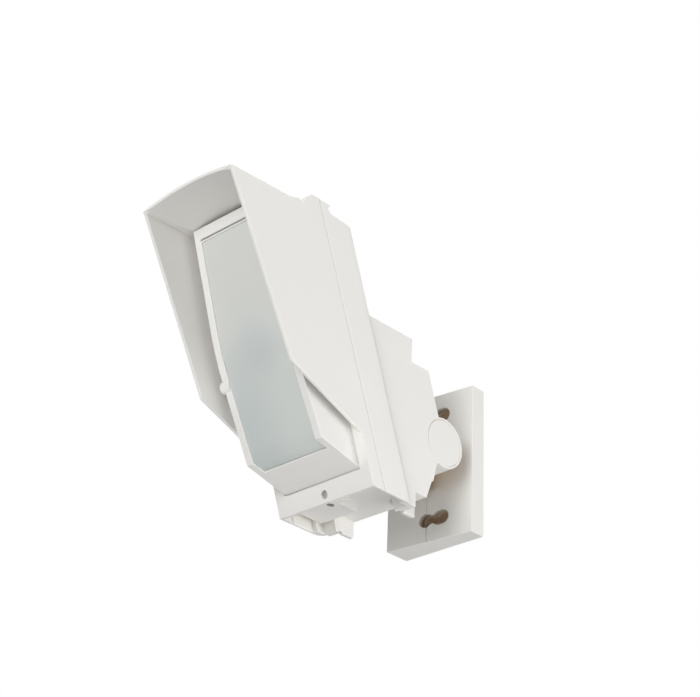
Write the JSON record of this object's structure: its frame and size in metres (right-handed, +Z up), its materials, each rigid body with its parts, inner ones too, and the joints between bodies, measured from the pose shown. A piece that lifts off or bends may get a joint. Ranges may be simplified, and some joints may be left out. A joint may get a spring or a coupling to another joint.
{
  "type": "outdoor motion detector",
  "caption": "Outdoor motion detector with a long hood over a curved milky window, on a stepped rear block that tilts between round ears on a wedge-shaped wall plate.",
  "frame": {"origin": "centre of the wall plate's back face", "axes": "+Z up, -Y the way the detector looks, +X to the right when looking at the wall"},
  "size_m": [0.08, 0.2415, 0.1749],
  "materials": {
    "white_shell": "satin",
    "white_bracket": "satin",
    "milky_lens": "satin",
    "zinc_steel": "zinc",
    "dark_nylon": "matte",
    "seal_rubber": "matte",
    "grey_rubber": "matte",
    "board_green": "satin",
    "sensor_can": "satin",
    "led_red": "gloss",
    "terminal_green": "satin"
  },
  "bodies": {
    "plate": {"wall_plate": "white_bracket"},
    "arm": {"swivel_arm": "white_bracket", "pan_bolt": "zinc_steel", "pan_nut": "zinc_steel", "pan_washer": "zinc_steel"},
    "head": {"rear_housing": "white_shell", "cable_gland": "grey_rubber", "tilt_bolt": "zinc_steel", "tilt_nut": "zinc_steel", "tilt_washer_right": "dark_nylon", "tilt_washer_left": "dark_nylon", "pivot_cap_right": "white_shell", "pivot_cap_left": "white_shell", "base_housing": "white_shell", "wiring_lid": "white_shell", "wiring_lid_screw": "zinc_steel", "front_cover": "white_shell", "cover_gasket": "seal_rubber", "lens_frame": "white_shell", "lens": "milky_lens", "lens_retainer": "dark_nylon", "circuit_board": "board_green", "optical_shroud": "dark_nylon", "sensor_lower": "sensor_can", "sensor_upper": "sensor_can", "terminal_block": "terminal_green", "alarm_relay": "dark_nylon", "processor_chip": "dark_nylon", "jumper_block": "dark_nylon", "board_screws": "zinc_steel", "rear_housing_screws": "zinc_steel", "lens_frame_screws": "zinc_steel", "cover_lock_screw": "zinc_steel", "status_led": "led_red", "board_capacitors": "sensor_can"}
  },
  "joints": [
    {"name": "pan", "type": "hinge", "parent": "plate", "child": "arm", "pos_m": [0, -0.022, -0.0031], "axis": [0, 0, 1], "range_deg": [-8, 8]},
    {"name": "tilt", "type": "hinge", "parent": "arm", "child": "head", "pos_m": [0, -0.0426, -0.0031], "axis": [1, 0, 0], "range_deg": [-20, 20]}
  ]
}
